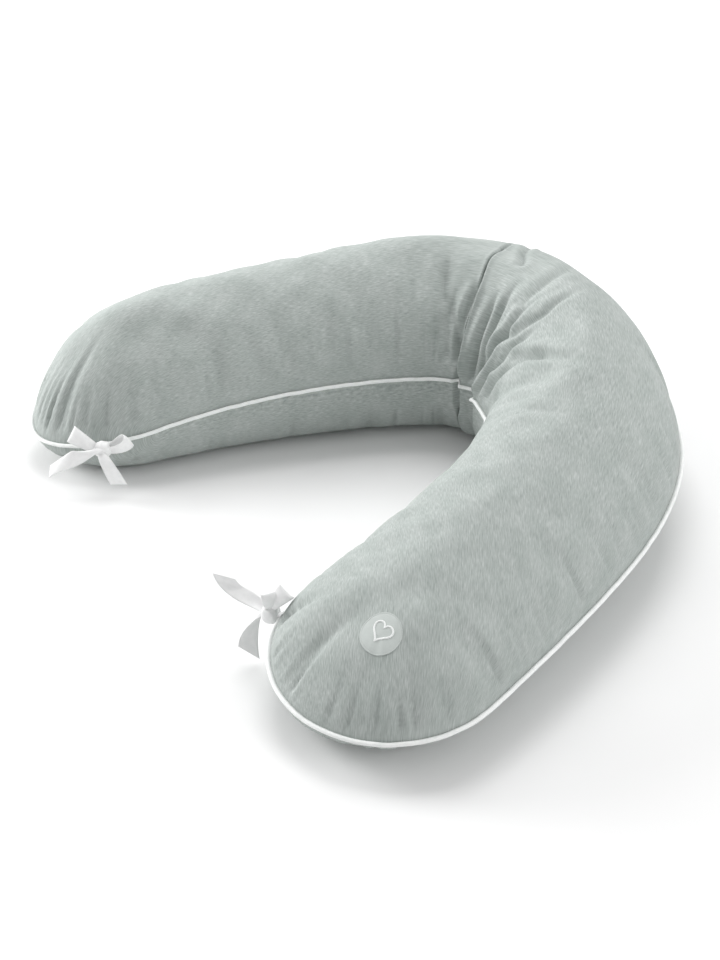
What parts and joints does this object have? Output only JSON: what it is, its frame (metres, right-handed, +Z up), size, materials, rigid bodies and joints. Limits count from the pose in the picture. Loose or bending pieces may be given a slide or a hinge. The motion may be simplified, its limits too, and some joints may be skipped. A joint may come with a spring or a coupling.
{
  "type": "nursing pillow",
  "caption": "Long bead-filled bolster bent into a U, in a piped jersey cover with a zip, a round patch and a ribbon bow at the inside of each arm.",
  "frame": {"origin": "centre of the whole pillow's plan box, on the plane it lies on", "axes": "+Z up, square to the pillow's flat underside; -Y out of the mouth of the U; +X to the longer arm's side"},
  "size_m": [1.0426, 0.9128, 0.2869],
  "materials": {
    "jersey_cover": "grey-green melange jersey, soft matt knit",
    "white_piping": "white cotton bias piping, woven",
    "cotton_liner": "unbleached plain-weave cotton",
    "bead_fill": "expanded polystyrene micro-beads, packed",
    "zip_tape": "grey woven polyester zip tape",
    "zip_coil": "moulded polyester coil",
    "zip_metal": "die-cast zip metal, satin",
    "care_label": "blank white satin label",
    "patch_cloth": "pale grey brushed cotton",
    "embroidery": "white satin-stitch thread",
    "white_ribbon": "white cotton twill ribbon"
  },
  "bodies": {
    "left_arm": {"cover_top_panel": "jersey_cover", "cover_bottom_panel": "jersey_cover", "piping_sleeve": "white_piping", "piping_core": "white_piping", "liner_top_panel": "cotton_liner", "liner_bottom_panel": "cotton_liner", "left_fill": "bead_fill", "bend_fill": "bead_fill", "zip_tape_upper": "zip_tape", "zip_tape_lower": "zip_tape", "zip_coil_upper": "zip_coil", "zip_coil_lower": "zip_coil", "zip_top_stop_upper": "zip_metal", "zip_top_stop_lower": "zip_metal", "zip_bottom_stop": "zip_metal", "care_label": "care_label", "left_anchor": "white_ribbon", "left_knot": "white_ribbon", "left_loop_a": "white_ribbon", "left_loop_b": "white_ribbon"},
    "right_arm": {"right_fill": "bead_fill", "round_patch": "patch_cloth", "patch_emblem": "embroidery", "right_anchor": "white_ribbon", "right_knot": "white_ribbon", "right_loop_a": "white_ribbon", "right_loop_b": "white_ribbon"},
    "zip_slider": {"zip_slider": "zip_metal"},
    "zip_pull": {"zip_pull": "zip_metal"},
    "left_tail_a": {"left_tail_a": "white_ribbon"},
    "left_tail_b": {"left_tail_b": "white_ribbon"},
    "right_tail_a": {"right_tail_a": "white_ribbon"},
    "right_tail_b": {"right_tail_b": "white_ribbon"}
  },
  "joints": [
    {"name": "arm_bend", "type": "hinge", "parent": "left_arm", "child": "right_arm", "pos_m": [-0.05572, 0.17439, 0], "axis": [0, 0, 1], "range_deg": [-25, 60], "deforming": ["bend_fill", "cover_top_panel", "cover_bottom_panel", "liner_top_panel", "liner_bottom_panel", "piping_core", "piping_sleeve"]},
    {"name": "zip_slide", "type": "hinge", "parent": "left_arm", "child": "zip_slider", "pos_m": [0.94258, -0.46405, 0.10759], "axis": [0, 0, 1], "range_deg": [0, 10.5]},
    {"name": "zip_pull_swing", "type": "hinge", "parent": "zip_slider", "child": "zip_pull", "pos_m": [-0.39252, 0.1906, 0.09509], "axis": [0, 0, -1], "range_deg": [0, 170]},
    {"name": "left_tail_a_swing", "type": "hinge", "parent": "left_arm", "child": "left_tail_a", "pos_m": [-0.28682, -0.32412, 0.06813], "axis": [-0.6594, -0.7518, 0], "range_deg": [0, 50]},
    {"name": "left_tail_b_swing", "type": "hinge", "parent": "left_arm", "child": "left_tail_b", "pos_m": [-0.28682, -0.32412, 0.06213], "axis": [-0.6594, -0.7518, 0], "range_deg": [0, 45]},
    {"name": "right_tail_a_swing", "type": "hinge", "parent": "right_arm", "child": "right_tail_a", "pos_m": [0.19358, -0.37594, 0.07108], "axis": [-0.4064, 0.9137, 0], "range_deg": [0, 60]},
    {"name": "right_tail_b_swing", "type": "hinge", "parent": "right_arm", "child": "right_tail_b", "pos_m": [0.19358, -0.37594, 0.06508], "axis": [-0.4064, 0.9137, 0], "range_deg": [0, 45]}
  ]
}
